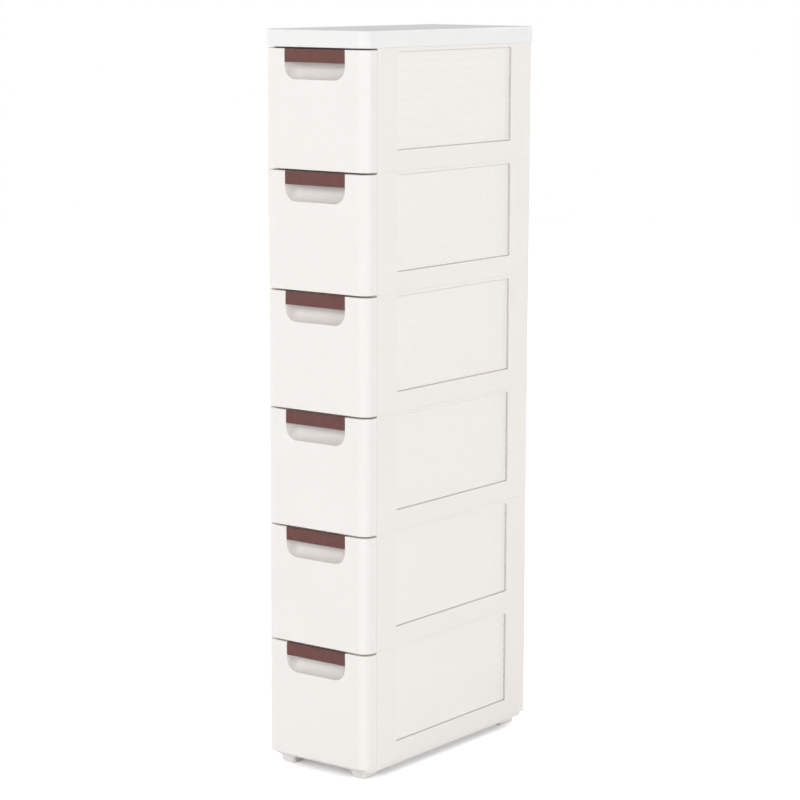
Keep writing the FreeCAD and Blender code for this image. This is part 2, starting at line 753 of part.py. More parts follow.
def make_drawer_tray(label):
    """The drawer's box: drafted walls, rounded corners, a rim, and skids that slide on the runners."""
    body = new_body(label)
    floor = "(Sizes.runner_height + Sizes.slide_gap + Sizes.skid_height)"
    rim_top = f"({ledge} - Sizes.crossbar_height - Sizes.tray_top_gap)"
    rim_low = f"({rim_top} - Sizes.rim_height)"
    rim_half = f"({inner} - Sizes.tray_side_gap)"
    rim_rear = f"({back_inner} - Sizes.tray_rear_gap)"
    wide = f"({rim_half} - Sizes.rim_width)"
    rear_wall = f"({rim_rear} - Sizes.rim_width)"
    cavity_front = f"({flange_front} + Sizes.flange_thickness)"
    cavity_wide = f"({wide} - Sizes.tray_wall)"
    cavity_rear = f"({rear_wall} - Sizes.tray_wall)"
    cavity_floor = f"({floor} + Sizes.tray_wall)"
    slope = f"Sizes.tray_draft / ({rim_low} - {floor})"
    add(body, "box", "XY", floor, rim_low, [rectangle(f"-{wide}", wide, flange_front, rear_wall)])
    add(
        body, "rim", "XY", rim_low, rim_top,
        [rectangle(f"-{rim_half}", rim_half, flange_front, rim_rear)],
    )
    cut(
        body, "cavity", "XY", cavity_floor, rim_top,
        [rectangle(f"-{cavity_wide}", cavity_wide, cavity_front, cavity_rear)],
    )
    lean(
        body, "cavity_draft", rim_top, slope, True,
        lambda face: lying(face, X=[f"-{cavity_wide}", cavity_wide]) or lying(face, Y=cavity_rear),
    )
    lean(
        body, "box_draft", rim_low, slope, False,
        lambda face: lying(face, X=[f"-{wide}", wide]) or lying(face, Y=rear_wall),
    )
    dress(
        body, "Fillet", "cavity_corners", "Sizes.tray_corner_radius - Sizes.tray_wall",
        lambda edge: rising(edge, cavity_wide, cavity_rear),
    )
    dress(
        body, "Fillet", "box_corners", "Sizes.tray_corner_radius",
        lambda edge: rising(edge, wide, rear_wall),
    )
    dress(
        body, "Fillet", "rim_corners", "Sizes.tray_corner_radius + Sizes.rim_width",
        lambda edge: lying(edge, X=[f"-{rim_half}", rim_half], Y=rim_rear),
    )
    dress(
        body, "Chamfer", "floor_edges", "Sizes.tray_floor_edge",
        lambda edge: lying(edge, Z=floor) and not lying(edge, Y=flange_front),
    )
    flange_half = f"({half} - Sizes.front_wall - Sizes.fit_clearance)"
    flange_low = f"({front_low} + Sizes.front_wall + Sizes.fit_clearance)"
    flange_high = f"({front_high} - Sizes.front_wall - Sizes.fit_clearance)"
    add(
        body, "flange", "XZ", flange_front, cavity_front,
        [rectangle(f"-{flange_half}", flange_half, flange_low, flange_high)],
    )
    skid_low = "(Sizes.runner_height + Sizes.slide_gap)"
    skid_in = "(Sizes.runner_centre - Sizes.skid_width / 2)"
    skid_out = "(Sizes.runner_centre + Sizes.skid_width / 2)"
    skid_rear = f"({rear_wall} - Sizes.tray_draft - Sizes.tray_corner_radius)"
    add(
        body, "skids", "XY", skid_low, cavity_floor,
        both_sides(skid_in, skid_out, cavity_front, skid_rear),
    )
    stop_front = f"({cabinet_front} + Sizes.crossbar_thickness + Sizes.stop_travel + Sizes.stop_margin)"
    stop_high = f"({ledge} - Sizes.crossbar_height + Sizes.stop_overlap)"
    stop_in = f"({rim_half} - Sizes.stop_width)"
    add(
        body, "stops", "XY", rim_low, stop_high,
        both_sides(stop_in, rim_half, stop_front, f"({stop_front} + Sizes.stop_length)"),
    )
    return body


def rising(edge, across, along):
    """True for an upright edge that meets the corner of an outline at its top."""
    near = value("Sizes.match_tolerance")
    top = max(edge.Vertexes, key=lambda vertex: vertex.Z)
    bottom = min(edge.Vertexes, key=lambda vertex: vertex.Z)
    reached = abs(abs(top.X) - value(across)) < near and abs(top.Y - value(along)) < near
    return reached and top.Z - bottom.Z > value("Sizes.tier_pitch / 2")


def build_base():
    """The base frame and its four feet."""
    pieces = [make_base_frame("base_frame")]
    labels = ("foot_front_right", "foot_front_left", "foot_rear_right", "foot_rear_left")
    for label, (x_middle, y_middle) in zip(labels, foot_middles()):
        pieces.append(make_foot(label, x_middle, y_middle))
    return pieces


def build_tiers():
    """Six tiers from the floor up. The lowest has the mouldings, and the others are copies of it."""
    makers = {
        "side_panel_right": make_side_panel,
        "back_panel": make_back_panel,
        "shelf_frame": make_shelf_frame,
        "drawer_front": make_drawer_front,
        "pull_bar": make_pull_bar,
        "drawer_tray": make_drawer_tray,
    }
    mouldings = {}
    pieces = []
    for tier in range(int(sizes["tier_count"])):
        for name, make in makers.items():
            label = f"{name}_{tier + 1}"
            piece = copied(mouldings[name], label) if name in mouldings else make(label)
            mouldings.setdefault(name, piece)
            piece.setExpression("Placement.Base.z", f"Sizes.base_height + {tier} * Sizes.tier_pitch")
            pieces.append(piece)
            if name == "side_panel_right":
                pieces.append(mirrored(piece, f"side_panel_left_{tier + 1}"))
    return pieces


cover = make_top_cover("top_cover")
cover.setExpression("Placement.Base.z", tower_top)
pieces = build_base() + build_tiers() + [cover]
doc.recompute()

for thing in doc.Objects:
    if "Invalid" in thing.State or "Error" in thing.State:
        raise RuntimeError(f"{thing.Label} did not build")
for piece in pieces:
    if piece.Shape.isNull() or not piece.Shape.isValid():
        raise RuntimeError(f"{piece.Label} has no valid shape")
os.makedirs("parts", exist_ok=True)
for piece in pieces:
    piece.Shape.exportStep(os.path.join("parts", f"{piece.Label}.step"))
print(len(pieces), "pieces written")
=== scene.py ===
import math

import bmesh
import bpy
from mathutils import Matrix, Vector


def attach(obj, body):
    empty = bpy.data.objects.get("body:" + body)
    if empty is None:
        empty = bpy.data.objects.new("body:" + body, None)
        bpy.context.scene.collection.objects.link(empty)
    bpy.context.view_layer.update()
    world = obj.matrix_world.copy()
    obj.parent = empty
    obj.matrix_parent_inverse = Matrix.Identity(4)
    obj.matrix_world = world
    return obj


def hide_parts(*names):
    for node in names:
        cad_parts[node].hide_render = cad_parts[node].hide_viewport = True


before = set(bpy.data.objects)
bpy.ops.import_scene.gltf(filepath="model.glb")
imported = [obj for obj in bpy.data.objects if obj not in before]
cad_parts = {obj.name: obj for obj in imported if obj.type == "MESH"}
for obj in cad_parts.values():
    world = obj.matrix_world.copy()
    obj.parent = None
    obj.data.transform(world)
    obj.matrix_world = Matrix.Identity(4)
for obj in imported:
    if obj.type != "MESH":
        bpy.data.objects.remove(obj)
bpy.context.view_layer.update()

# Looks of the slim drawer tower. Sizes are in millimetres, in the frame of the CAD, and meshes are in metres.
MM = 0.001
MERGE = 0.002
CREASE = math.radians(38.0)

# Tiers, and the planes of the cabinet and the drawers
TIERS = 6
PITCH = 190.0
BASE = 19.5
HALF = 103.0
FRONT = -222.0
REAR = 222.0
CABINET_FRONT = -195.2
SHELL_REAR = -196.0
INNER = 90.0
WALL = 2.6

# Drawer fronts. CLEAR is how far in front of the face a cutter starts.
CLEAR = 8.0
CORNER_STEPS = 14
SHELL = {"low": 0.5, "high": 187.5, "corner": 18.0, "rear_corner": 0.5, "rim": 1.1}
CORE = {"past": 5.0, "rear_corner": 0.2, "rim": 0.8}
SCOOP = {
    "half": 59.5, "low": 140.5, "high": 184.9, "depth": 20.8,
    "corner": 21.0, "cove": 17.5, "rise": 1.6, "lip": 1.0,
}
HOUSING = {"skin": 2.4, "top": 190.0}
NOTCH = {"rear": 6.6, "low": 170.0, "high": 195.0}
SEAT = {"half": 61.5, "near": 2.6}
BAR = {
    "half": 59.3, "low": 166.5, "high": 187.5, "depth": 6.4, "leg": 3.0,
    "web": 2.6, "hook": 1.8, "hook_tall": 9.6, "edge": 0.7,
}
EAR = {"half": 61.3, "near": 2.8, "tall": 2.5, "gap": 0.1, "lap": 2.0, "edge": 0.35}

# Trays. A wall's front edge follows its inset by the share "follow". Its "levels" are heights with insets.
TRAY_DRAFT = 3.0
TRAY_OUTER = {
    "half": 84.0, "rear": 200.9, "front": SHELL_REAR - 1.4, "low": 5.0, "tall": 168.6,
    "edge": 6.0, "corner": 12.0, "front_corner": 0.5, "least": 0.5, "follow": 0.0,
    "levels": ((60.0, 0.0), (120.0, 0.0), (173.2, 0.0)),
}
TRAY_INNER = {
    "half": 81.8, "rear": 198.7, "front": SHELL_REAR + 0.1, "low": 7.2, "tall": 168.8,
    "edge": 3.8, "corner": 9.8, "front_corner": 3.0, "least": 0.6, "follow": 0.5,
    "levels": ((176.0, -0.7), (175.8, -0.2), (175.3, 0.0), (120.0, 0.0), (60.0, 0.0)),
}
TRAY_RIM = (
    (87.6, 204.5, 173.2), (88.1, 205.0, 173.3), (88.5, 205.4, 173.8),
    (88.5, 205.4, 175.3), (88.3, 205.2, 175.8), (87.8, 204.7, 176.0),
)
RIM_CENTRE = 75.0
FLANGE = {"half": 100.2, "low": 3.3, "high": 184.7, "thick": 2.4, "corner": 1.0, "edge": 0.4}
SKID = {"name": "skid", "x": (72.0, 76.0), "y": (-195.0, 190.0), "z": (2.8, 6.4), "edge": 0.5}
STOP = {"name": "stop", "x": (84.5, 88.45), "y": (99.3, 107.3), "z": (173.9, 181.5), "edge": 0.6}

# Side and back panels, their recesses and the slats in them
RECESS = {"front": -144.2, "rear": 164.0, "low": 32.0, "high": 184.0}
RECESS_CORNER = 3.0
RECESS_CLEAR = 5.0
GROOVE = {"width": 1.2, "depth": 1.5, "over": 0.6, "core_under": 1.0, "core_over": 2.0}
SLATS = 10
SLAT_NOSE = 0.3
SIDE = {
    "gap": 0.02, "edge": 0.45, "radii": (1.5, 3.0, 0.5, 0.5), "inner_share": 0.3,
    "depth": 4.0, "lip": 0.7, "thick": 1.4, "step": 1.2, "tuck": 0.0, "lap": 0.0,
}
CELLS = {
    "edges": (-189.0, -150.0, -84.0, -18.0, 48.0, 114.0, 166.5, 207.0),
    "rows": ((10.0, 92.0), (94.0, 176.0)), "rib": 1.8, "skin": 2.4, "clear": 2.0,
}
REBATE = {"front": -198.0, "rear": 212.6, "outer": 100.6, "depth": 3.1, "clear": 4.0}
BACK = {
    "half": 89.7, "inner": 212.6, "outer": 219.4, "low": 0.1, "short": 3.2, "edge": 0.4, "corner": 0.3,
    "recess": 69.8, "depth": 2.3, "lip": 0.5, "thick": 1.2, "step": 0.8, "tuck": 0.6, "lap": 0.4,
}

# Cover and feet
COVER = {
    "low": 1159.5, "high": 1186.5, "half": 105.0, "long": 224.0,
    "corner": 20.0, "rear_corner": 5.0, "least": 0.6, "edge": 2.5, "hem": 1.3,
    "ceiling": ((6.0, 0.0), (4.1, 0.0), (3.0, 0.5), (WALL, 1.5)), "inside": ((WALL, 0.5), (2.3, 0.0)),
}
COVER_RIBS = (
    {"count": 5, "step": (0.0, 74.5, 0.0), "length": 203.0, "low": 6.0, "turn": math.pi / 2},
    {"count": 3, "step": (52.0, 0.0, 0.0), "length": 441.0, "low": 6.2, "turn": 0.0},
)
RIB = {"thick": 2.0, "top_gap": 1.0}
FOOT = {
    "half": 16.0, "long": 22.0, "corner": 6.0, "corner_share": 0.4, "least": 1.0,
    "inset": 3.0, "sole": 1.4, "flare": ((1.6, 7.4), (0.0, 13.4)),
}
FOOT_ENDS = {"front": -185.0, "rear": 195.5}
FOOT_SIDES = {"right": 72.0, "left": -72.0}
FRAME_COPY = {"merge": 0.003, "flat": math.radians(1.0), "edge": 0.3}

# Finishes: colours as written in a picture, the grain's scale per metre and its depth in millimetres
# Outer edges are painted paler, as wear and as a painted highlight; inner corners and creases are painted a
# darker colour.
PLAIN = {"wear_and_highlight_colour": (252, 251, 249), "crease_darkening": (214, 210, 205), "tone": 0.7, "specular": 0.4}
FINISHES = {
    "front_white": {
        "colour": (246, 242, 239), "shade": (240, 236, 232),
        "roughness": 0.36, "grain": 1100.0, "depth": 0.07, "wear_and_highlight": 0.5, "crease_share": 0.4,
    },
    "cover_white": {
        "colour": (243, 243, 242), "shade": (238, 238, 237),
        "roughness": 0.42, "grain": 1000.0, "depth": 0.08, "wear_and_highlight": 0.5, "crease_share": 0.4,
    },
    "panel_white": {
        "colour": (244, 240, 236), "shade": (238, 234, 229),
        "roughness": 0.48, "grain": 950.0, "depth": 0.09, "wear_and_highlight": 0.4, "crease_share": 0.7,
    },
    "tray_white": {
        "colour": (243, 241, 238), "shade": (236, 234, 230),
        "roughness": 0.34, "grain": 1300.0, "depth": 0.06, "wear_and_highlight": 0.3, "crease_share": 0.4,
    },
    "foot_white": {
        "colour": (240, 237, 234), "shade": (231, 228, 224), "crease_darkening": (190, 186, 180),
        "roughness": 0.55, "grain": 900.0, "depth": 0.1, "wear_and_highlight": 0.4, "crease_share": 0.8,
    },
    "bar_brown": {
        "colour": (109, 68, 64), "shade": (94, 58, 54), "wear_and_highlight_colour": (162, 122, 112), "crease_darkening": (84, 60, 54),
        "roughness": 0.46, "grain": 1000.0, "depth": 0.09, "wear_and_highlight": 0.9, "crease_share": 0.4,
        "tone": 0.9, "specular": 0.24,
    },
}
BUMP_STRENGTH = 0.6
CLOUD_SHARE = 0.8
FLECK_SHARE = 0.2
PATCH_SCALE = 55.0
FLECK_SCALE = 420.0
EDGE_BREAKUP_SCALE = 90.0
# Pointiness bounds: above high, outer edges go paler as wear and a painted highlight; below low, inner
# corners and creases go darker.
EDGE = {"high": 0.52, "low": 0.48, "gain": 14.0}

# Studio and camera, in metres, watts and degrees
WHITE = (1.0, 1.0, 1.0, 1.0)
SKY = 0.37
FLOOR = {
    "radius": 9000.0, "sides": 96, "levels": (-6.0, -0.2),
    "colour": (0.86, 0.86, 0.86, 1.0), "roughness": 0.9,
}
CONTACT = {"samples": 16, "distance": 0.045, "gain": 0.74, "least": 0.16}
AIM = (0.0, 0.0, 0.6)
LAMPS = (
    ("front_light", (-2.8, -7.6, 4.2), 5.0, 325.0),
    ("right_light", (6.9, -1.8, 1.9), 4.0, 201.0),
    ("rear_light", (1.3, 6.8, 3.6), 4.0, 215.0),
    ("left_light", (-6.8, 0.6, 3.6), 4.0, 215.0),
)
CAMERA = {"place": (2.5546, -3.3895, 1.2848), "yaw": 37.0, "pitch": 9.43, "roll": 0.18, "lens": 117.8}


# Outlines

def quarter(steps):
    """The sine and cosine of evenly spread turns from 0 to 90 degrees, for rounding an edge."""
    turns = [math.pi / 2 * k / steps for k in range(steps + 1)]
    return [(math.sin(turn), math.cos(turn)) for turn in turns]


def arc(a, b, radius, start, steps):
    """A quarter of a circle round a point, from a start in degrees."""
    turns = [math.radians(start + 90.0 * k / steps) for k in range(steps + 1)]
    return [(a + radius * math.cos(turn), b + radius * math.sin(turn)) for turn in turns]


def rounded(low_a, high_a, low_b, high_b, radii, steps):
    """A rectangle in a plane, anticlockwise from its low b edge, with the radius of each corner in turn."""
    corners = (
        (high_a, low_b, -1, 1, -90.0), (high_a, high_b, -1, -1, 0.0),
        (low_a, high_b, 1, -1, 90.0), (low_a, low_b, 1, 1, 180.0),
    )
    points = []
    for (a, b, side_a, side_b, start), radius in zip(corners, radii):
        points += arc(a + side_a * radius, b + side_b * radius, radius, start, steps)
    return points


# Meshes

def stacked(name, rings):
    """A closed skin over rings of equal count, with a flat cap at each end and its faces turned outwards."""
    sheet = bmesh.new()
    loops = [[sheet.verts.new(Vector(point) * MM) for point in ring] for ring in rings]
    sheet.faces.new(loops[0])
    sheet.faces.new(loops[-1])
    for lower, upper in zip(loops, loops[1:]):
        for k in range(len(lower)):
            after = (k + 1) % len(lower)
            sheet.faces.new((lower[k], lower[after], upper[after], upper[k]))
    bmesh.ops.remove_doubles(sheet, verts=sheet.verts, dist=MERGE * MM)
    bmesh.ops.dissolve_degenerate(sheet, edges=sheet.edges, dist=MERGE * MM)
    bmesh.ops.recalc_face_normals(sheet, faces=sheet.faces)
    mesh = bpy.data.meshes.new(name)
    sheet.to_mesh(mesh)
    sheet.free()
    mesh.polygons.foreach_set("use_smooth", [True] * len(mesh.polygons))
    return mesh


def shown(name, mesh):
    piece = bpy.data.objects.new(name, mesh)
    bpy.context.scene.collection.objects.link(piece)
    return piece


def baked(piece, name):
    """The piece with its modifiers worked in, as a plain mesh."""
    view = bpy.context.evaluated_depsgraph_get()
    view.update()
    final = piece.evaluated_get(view)
    mesh = bpy.data.meshes.new_from_object(final, preserve_all_data_layers=True, depsgraph=view)
    mesh.name = name
    bpy.data.objects.remove(piece)
    return mesh


def joined(name, meshes):
    """Several meshes in one, each a closed shell of its own."""
    sheet = bmesh.new()
    for mesh in meshes:
        sheet.from_mesh(mesh)
    whole = bpy.data.meshes.new(name)
    sheet.to_mesh(whole)
    sheet.free()
    return whole


def carved(mesh, cutters):
    """The mesh with the cutters taken away, one after the other."""
    body = shown("blank", mesh)
    tools = []
    for shape in cutters:
        tool = shown("cutter", shape)
        change = body.modifiers.new("carve", "BOOLEAN")
        change.operation = "DIFFERENCE"
        change.solver = "EXACT"
        change.object = tool
        tools.append(tool)
    result = baked(body, mesh.name)
    for tool in tools:
        bpy.data.objects.remove(tool)
    return result


def eased(mesh, width, segments):
    """A mesh of a few large faces with its sharp edges rounded."""
    piece = shown("eased", mesh)
    edge = piece.modifiers.new("edges", "BEVEL")
    edge.width = width * MM
    edge.segments = segments
    edge.limit_method = "ANGLE"
    edge.angle_limit = CREASE
    return baked(piece, mesh.name)


def shaded(mesh):
    """The mesh with flat faces kept flat in the shading and every crease kept sharp."""
    mesh.polygons.foreach_set("use_smooth", [True] * len(mesh.polygons))
    mesh.set_sharp_from_angle(angle=CREASE)
    piece = shown("shaded", mesh)
    weights = piece.modifiers.new("weights", "WEIGHTED_NORMAL")
    weights.mode = "FACE_AREA"
    weights.keep_sharp = True
    return baked(piece, mesh.name)


def moved(mesh, name, x=0.0, y=0.0, z=0.0):
    copy = mesh.copy()
    copy.name = name
    copy.transform(Matrix.Translation(Vector((x, y, z)) * MM))
    return copy


def mirrored(mesh, name):
    """A copy for the other side of the tower, with its faces turned out again."""
    sheet = bmesh.new()
    sheet.from_mesh(mesh)
    bmesh.ops.scale(sheet, vec=(-1.0, 1.0, 1.0), verts=sheet.verts)
    bmesh.ops.reverse_faces(sheet, faces=sheet.faces)
    copy = bpy.data.meshes.new(name)
    sheet.to_mesh(copy)
    sheet.free()
    return copy


def slab(name, plan, low, high, edge, steps, upright=True):
    """A closed block with both rims rounded, over a plan that is a function of how far it is drawn in."""
    profile = [(edge * (1 - sine), low + edge * (1 - cosine)) for sine, cosine in quarter(steps)]
    profile += [(edge * (1 - cosine), high - edge * (1 - sine)) for sine, cosine in quarter(steps)]
    return stacked(name, [
        [(a, b, level) if upright else (a, level, b) for a, b in plan(inset)] for inset, level in profile
    ])


def box(name, low, high, edge):
    """A plain moulded block between two corners, with rounded edges."""

    def plan(inset):
        return rounded(low[0] + inset, high[0] - inset, low[1] + inset, high[1] - inset, [edge] * 4, 2)

    return slab(name, plan, low[2], high[2], edge, 2)


def cutter(name, low, high):
    """A sharp block for carving."""
    (a, b, c), (d, e, f) = low, high
    return stacked(name, [[(a, b, level), (d, b, level), (d, e, level), (a, e, level)] for level in (c, f)])


# Drawer fronts

def scoop_line(out, top):
    """The outline of the finger scoop, grown by out: down the left, along the bottom and up the right."""
    half = SCOOP["half"] + out
    low = SCOOP["low"] - (out * SCOOP["rise"] if out < 0 else out)
    radius = max(SCOOP["corner"] + out, 1.0)
    left = arc(-half + radius, low + radius, radius, 180.0, 10)
    right = arc(half - radius, low + radius, radius, 270.0, 10)
    return [(-half, top)] + left + right + [(half, top)]


def scoop_solid(name, skin, top, lip=0.0):
    """The hollow for the fingers, from in front of the face to the bottom of the cove, grown by skin."""
    rings = [(lip + skin, -CLEAR)]
    if lip:
        rings += [(lip * (1 - sine) + skin, lip * (1 - cosine)) for sine, cosine in quarter(6)]
    else:
        rings.append((skin, 0.0))
    cove = SCOOP["cove"]
    deep = SCOOP["depth"] + skin
    straight = max(deep - cove - skin, lip)
    for sine, cosine in quarter(12):
        rings.append((skin - (cove + skin) * (1 - cosine), straight + (deep - straight) * sine))
    return stacked(name, [[(a, FRONT + depth, b) for a, b in scoop_line(out, top)] for out, depth in rings])


def front_mesh():
    """The shell that wraps round both sides of a drawer, hollow behind, with the scoop's housing inside."""

    def skin(inset):
        near, far = SHELL["corner"] - inset, SHELL["rear_corner"]
        radii = [near, far, far, near]
        return rounded(-HALF + inset, HALF - inset, FRONT + inset, SHELL_REAR, radii, CORNER_STEPS)

    def core(inset):
        grown = WALL + inset
        near, far = SHELL["corner"] - grown, CORE["rear_corner"]
        radii = [near, far, far, near]
        rear = SHELL_REAR + CORE["past"]
        return rounded(-HALF + grown, HALF - grown, FRONT + grown, rear, radii, CORNER_STEPS)

    shell = slab("front", skin, SHELL["low"], SHELL["high"], SHELL["rim"], 4)
    hollow = slab("hollow", core, SHELL["low"] + WALL, SHELL["high"] - WALL, CORE["rim"], 2)
    hollow = carved(hollow, [scoop_solid("housing", HOUSING["skin"], HOUSING["top"])])
    half, lip = SCOOP["half"], SCOOP["lip"]
    scoop = scoop_solid("scoop", 0.0, SCOOP["high"], lip)
    plan = [(half, FRONT + NOTCH["rear"])]
    plan += [(half + lip * (1 - cosine), FRONT + lip * (1 - sine)) for sine, cosine in quarter(6)]
    plan.append((half + lip, FRONT - CLEAR))
    plan += [(-x, y) for x, y in reversed(plan)]
    notch = stacked("notch", [[(x, y, level) for x, y in plan] for level in (NOTCH["low"], NOTCH["high"])])
    seat = cutter(
        "seat", (-SEAT["half"], FRONT + SEAT["near"], SCOOP["high"]),
        (SEAT["half"], FRONT + NOTCH["rear"], NOTCH["high"]),
    )
    return shaded(carved(shell, [hollow, scoop, notch, seat]))


def bar_mesh():
    """The grip: a front leg, a web on top and a hook behind, with an ear at each end."""
    low, high, half = BAR["low"], BAR["high"], BAR["half"]
    rear = FRONT + BAR["depth"]
    leg, web = FRONT + BAR["leg"], high - BAR["web"]
    hook, tip = rear - BAR["hook"], high - BAR["hook_tall"]
    profile = [
        (FRONT, low), (leg, low), (leg, web), (hook, web),
        (hook, tip), (rear, tip), (rear, high), (FRONT, high),
    ]
    grip = stacked("bar", [[(x, y, z) for y, z in profile] for x in (-half, half)])
    near, far = FRONT + EAR["near"], rear - EAR["gap"]
    bottom, top = high - EAR["tall"], high - EAR["gap"]
    inner, outer = half - EAR["lap"], EAR["half"]
    ears = [
        box("ear", (left, near, bottom), (right, far, top), EAR["edge"])
        for left, right in ((-outer, -inner), (inner, outer))
    ]
    return shaded(joined("bar", [eased(grip, BAR["edge"], 4)] + ears))


# Trays

def tray_ring(half, rear, near, level, corner, front_corner):
    """An outline of the tray at one height."""
    outline = rounded(-half, half, near, rear, [front_corner, corner, corner, front_corner], 8)
    return [(a, b, level) for a, b in outline]


def wall_ring(wall, level, inset):
    """The outline of a drafted wall at one height, drawn in by an inset."""
    drift = TRAY_DRAFT * ((level - wall["low"]) / wall["tall"])
    follow = inset * wall["follow"]
    corner = max(wall["corner"] - inset, wall["least"])
    front_corner = max(wall["front_corner"] - follow, wall["least"])
    half, rear = wall["half"] + drift - inset, wall["rear"] + drift - inset
    return tray_ring(half, rear, wall["front"] + follow, level, corner, front_corner)


def tray_mesh():
    """The drafted box with its rim, the flange that closes the front, two skids and two stop lugs."""
    outer, inner = TRAY_OUTER, TRAY_INNER
    rings = []
    for sine, cosine in quarter(5):
        rise, inset = outer["edge"] * (1 - cosine), outer["edge"] * (1 - sine)
        rings.append(wall_ring(outer, outer["low"] + rise, inset))
    rings += [wall_ring(outer, level, inset) for level, inset in outer["levels"]]
    for half, rear, level in TRAY_RIM:
        rings.append(tray_ring(half, rear, outer["front"], level, half - RIM_CENTRE, outer["front_corner"]))
    rings += [wall_ring(inner, level, inset) for level, inset in inner["levels"]]
    for sine, cosine in quarter(5):
        rise, inset = inner["edge"] * (1 - sine), inner["edge"] * (1 - cosine)
        rings.append(wall_ring(inner, inner["low"] + rise, inset))

    def plate(inset):
        side, low, high = FLANGE["half"] - inset, FLANGE["low"] + inset, FLANGE["high"] - inset
        return rounded(-side, side, low, high, [FLANGE["corner"]] * 4, 3)

    flange = slab("flange", plate, SHELL_REAR - FLANGE["thick"], SHELL_REAR, FLANGE["edge"], 2, upright=False)
    parts = [stacked("tub", rings), flange]
    for side in (-1, 1):
        for lug in (SKID, STOP):
            left, right = sorted(side * x for x in lug["x"])
            (near, far), (bottom, top) = lug["y"], lug["z"]
            parts.append(box(lug["name"], (left, near, bottom), (right, far, top), lug["edge"]))
    return shaded(joined("tray", parts))


# Nodes

def add_node(tree, kind, inputs=None, **settings):
    """A new node with its settings, and with its inputs linked to sockets or set to plain values."""
    made = tree.nodes.new(kind)
    for label, setting in settings.items():
        setattr(made, label, setting)
    for label, source in (inputs or {}).items():
        if isinstance(source, bpy.types.NodeSocket):
            tree.links.new(source, made.inputs[label])
        else:
            made.inputs[label].default_value = source
    return made


def slat_tree():
    """Geometry Nodes: a row of slats or ribs with rounded edges, laid on the moulding that comes in."""
    tree = bpy.data.node_groups.new("slat_ladder", "GeometryNodeTree")
    face = tree.interface
    face.new_socket("Geometry", in_out="INPUT", socket_type="NodeSocketGeometry")
    face.new_socket("Geometry", in_out="OUTPUT", socket_type="NodeSocketGeometry")
    for label, kind, number in (
        ("Count", "NodeSocketInt", 10), ("Length", "NodeSocketFloat", 0.3),
        ("Height", "NodeSocketFloat", 0.0152), ("Thickness", "NodeSocketFloat", 0.0012),
        ("Lean", "NodeSocketFloat", 0.06), ("Nose", "NodeSocketFloat", 0.0003),
    ):
        face.new_socket(label, in_out="INPUT", socket_type=kind).default_value = number
    for label in ("Start", "Step", "Turn"):
        face.new_socket(label, in_out="INPUT", socket_type="NodeSocketVector")
    face.new_socket("Finish", in_out="INPUT", socket_type="NodeSocketMaterial")
    given = tree.nodes.new("NodeGroupInput").outputs
    end = tree.nodes.new("NodeGroupOutput")

    # One slat: its section with rounded edges, run along its length, centred, leaned and turned
    section = add_node(tree, "GeometryNodeCurvePrimitiveQuadrilateral", {
        "Width": given["Thickness"], "Height": given["Height"],
    })
    nosed = add_node(tree, "GeometryNodeFilletCurve", {
        "Curve": section.outputs["Curve"], "Radius": given["Nose"], "Count": 3,
    }, mode="POLY")
    reach = add_node(tree, "ShaderNodeCombineXYZ", {"Z": given["Length"]})
    run = add_node(tree, "GeometryNodeCurvePrimitiveLine", {"End": reach.outputs["Vector"]})
    slat = add_node(tree, "GeometryNodeCurveToMesh", {
        "Curve": run.outputs["Curve"], "Profile Curve": nosed.outputs["Curve"], "Fill Caps": True,
    })
    middle = add_node(tree, "ShaderNodeMath", {0: given["Length"], 1: -0.5}, operation="MULTIPLY")
    centre = add_node(tree, "ShaderNodeCombineXYZ", {"Z": middle.outputs["Value"]})
    centred = add_node(tree, "GeometryNodeTransform", {
        "Geometry": slat.outputs["Mesh"], "Translation": centre.outputs["Vector"],
    })
    tilt = add_node(tree, "ShaderNodeCombineXYZ", {"Z": given["Lean"]})
    leaned = add_node(tree, "GeometryNodeTransform", {
        "Geometry": centred.outputs["Geometry"], "Rotation": tilt.outputs["Vector"],
    })
    turned = add_node(tree, "GeometryNodeTransform", {
        "Geometry": leaned.outputs["Geometry"], "Rotation": given["Turn"],
    })

    # The row of slats, joined to the moulding, with one finish on all of it
    ladder = add_node(tree, "GeometryNodeMeshLine", {
        "Count": given["Count"], "Start Location": given["Start"], "Offset": given["Step"],
    })
    rungs = add_node(tree, "GeometryNodeInstanceOnPoints", {
        "Points": ladder.outputs["Mesh"], "Instance": turned.outputs["Geometry"],
    })
    whole = add_node(tree, "GeometryNodeJoinGeometry", {"Geometry": rungs.outputs["Instances"]})
    tree.links.new(given["Geometry"], whole.inputs["Geometry"])
    real = add_node(tree, "GeometryNodeRealizeInstances", {"Geometry": whole.outputs["Geometry"]})
    finish = add_node(tree, "GeometryNodeSetMaterial", {
        "Geometry": real.outputs["Geometry"], "Material": given["Finish"],
    })
    tree.links.new(finish.outputs["Geometry"], end.inputs["Geometry"])
    return tree


def slatted(mesh, tree, **values):
    """The moulding with its slats or ribs, from the tree and its named inputs."""
    piece = shown("panel", mesh)
    change = piece.modifiers.new("slats", "NODES")
    change.node_group = tree
    keys = {item.name: item.identifier for item in tree.interface.items_tree if item.in_out == "INPUT"}
    for label, number in values.items():
        change[keys[label]] = number
    return shaded(baked(piece, mesh.name))


# Panels

def louvred(panel, tree, finish, look, floor, near, far, gap):
    """The panel with leaning slats on the floor of its recess, kept a gap inside it."""
    height = (RECESS["high"] - RECESS["low"] - 2 * gap) / SLATS
    thick, step = look["thick"], look["step"]
    length = far - near - 2 * gap + look["tuck"]
    start = Vector((floor - thick / 2 + step / 2, (near + far) / 2, RECESS["low"] + gap + height / 2))
    return slatted(
        panel, tree, Count=SLATS, Step=Vector((0.0, 0.0, height)) * MM, Length=length * MM,
        Height=(height + look["lap"]) * MM, Thickness=thick * MM, Lean=math.atan(step / height),
        Nose=SLAT_NOSE * MM, Start=start * MM, Turn=Vector((math.pi / 2, 0.0, 0.0)), Finish=finish,
    )


